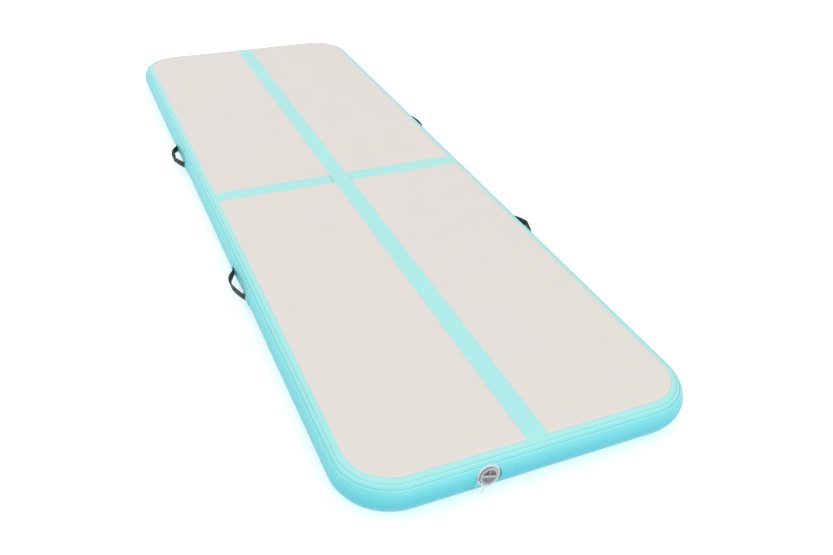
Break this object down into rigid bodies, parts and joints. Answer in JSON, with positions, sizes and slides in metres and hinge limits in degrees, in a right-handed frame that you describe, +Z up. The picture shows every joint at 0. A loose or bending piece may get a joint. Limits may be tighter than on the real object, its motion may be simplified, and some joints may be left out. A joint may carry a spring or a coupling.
{
  "type": "air track mat",
  "caption": "Inflatable drop-stitch tumbling mat with a pale deck, taped rim, raised deck lines, webbing carry handles and a screw-capped valve in one end.",
  "frame": {"origin": "centre of the underside's flat face", "axes": "+X across the mat, +Y along it away from the valve end, +Z up out of the deck"},
  "size_m": [1.0668, 3.0153, 0.1008],
  "materials": {
    "deck_fabric": "matt coated fabric with a fine texture",
    "base_fabric": "matt coated fabric",
    "wall_fabric": "satin coated fabric",
    "tape_fabric": "satin coated tape",
    "webbing": "woven webbing",
    "thread": "polyester thread",
    "boot_plastic": "soft moulded plastic",
    "valve_plastic": "satin moulded plastic",
    "cap_plastic": "satin moulded plastic",
    "seal_rubber": "matt rubber",
    "spring_steel": "drawn wire",
    "clear_plastic": "clear flexible plastic"
  },
  "bodies": {
    "mat": {"top_skin": "deck_fabric", "bottom_skin": "base_fabric", "drop_stitch_threads": "thread", "side_wall_inner": "wall_fabric", "left_side_wall": "wall_fabric", "right_side_wall": "wall_fabric", "valve_wall_panel": "wall_fabric", "side_wall_joint_tape": "tape_fabric", "upper_seam_strip": "tape_fabric", "lower_seam_strip": "tape_fabric", "top_edge_tape": "tape_fabric", "bottom_edge_tape": "tape_fabric", "centre_line_tape": "tape_fabric", "left_cross_line_tape": "tape_fabric", "right_cross_line_tape": "tape_fabric", "front_left_strap_ends": "webbing", "front_left_end_patches": "wall_fabric", "front_right_strap_ends": "webbing", "front_right_end_patches": "wall_fabric", "rear_left_strap_ends": "webbing", "rear_left_end_patches": "wall_fabric", "rear_right_strap_ends": "webbing", "rear_right_end_patches": "wall_fabric", "valve_boot": "boot_plastic", "flange_gasket": "seal_rubber", "valve_body": "valve_plastic", "valve_nut": "valve_plastic", "pin_spring": "spring_steel"},
    "seal": {"seal_disc": "seal_rubber", "seal_washer": "valve_plastic"},
    "pin": {"valve_pin": "valve_plastic"},
    "tether": {"tether": "clear_plastic"},
    "cap": {"cap": "cap_plastic", "cap_gasket": "seal_rubber"},
    "front_left_handle": {"front_left_grip": "webbing", "front_left_stitching": "thread"},
    "front_right_handle": {"front_right_grip": "webbing", "front_right_stitching": "thread"},
    "rear_left_handle": {"rear_left_grip": "webbing", "rear_left_stitching": "thread"},
    "rear_right_handle": {"rear_right_grip": "webbing", "rear_right_stitching": "thread"}
  },
  "joints": [
    {"name": "pin_press", "type": "slide", "parent": "mat", "child": "seal", "axis": [0, 0.9925, -0.1219], "range_m": [0, 0.006], "stiffness_N_per_m": 300, "springref_m": -0.003, "deforming": ["pin_spring"]},
    {"name": "pin_turn", "type": "hinge", "parent": "seal", "child": "pin", "pos_m": [-0.148, -1.47898, 0.05366], "axis": [0, 0.9925, -0.1219], "range_deg": [0, 90]},
    {"name": "cap_lift", "type": "slide", "parent": "mat", "child": "tether", "axis": [0, -0.9925, 0.1219], "range_m": [0, 0.006]},
    {"name": "cap_turn", "type": "hinge", "parent": "tether", "child": "cap", "pos_m": [-0.148, -1.49684, 0.05585], "axis": [0, -0.9925, 0.1219], "range_deg": [0, 540]},
    {"name": "front_left_swing", "type": "hinge", "parent": "mat", "child": "front_left_handle", "pos_m": [-0.514, -0.49, 0.05], "axis": [0, 1, 0], "range_deg": [-80, 80], "stiffness_Nm_per_rad": 0.05},
    {"name": "front_right_swing", "type": "hinge", "parent": "mat", "child": "front_right_handle", "pos_m": [0.514, -0.49, 0.05], "axis": [0, -1, 0], "range_deg": [-80, 80], "stiffness_Nm_per_rad": 0.05},
    {"name": "rear_left_swing", "type": "hinge", "parent": "mat", "child": "rear_left_handle", "pos_m": [-0.514, 0.46, 0.05], "axis": [0, 1, 0], "range_deg": [-80, 80], "stiffness_Nm_per_rad": 0.05},
    {"name": "rear_right_swing", "type": "hinge", "parent": "mat", "child": "rear_right_handle", "pos_m": [0.514, 0.46, 0.05], "axis": [0, -1, 0], "range_deg": [-80, 80], "stiffness_Nm_per_rad": 0.05}
  ],
  "couplings": [
    {"joint": "cap_lift", "follows": "cap_turn", "m_per_rad": 0.000636}
  ]
}
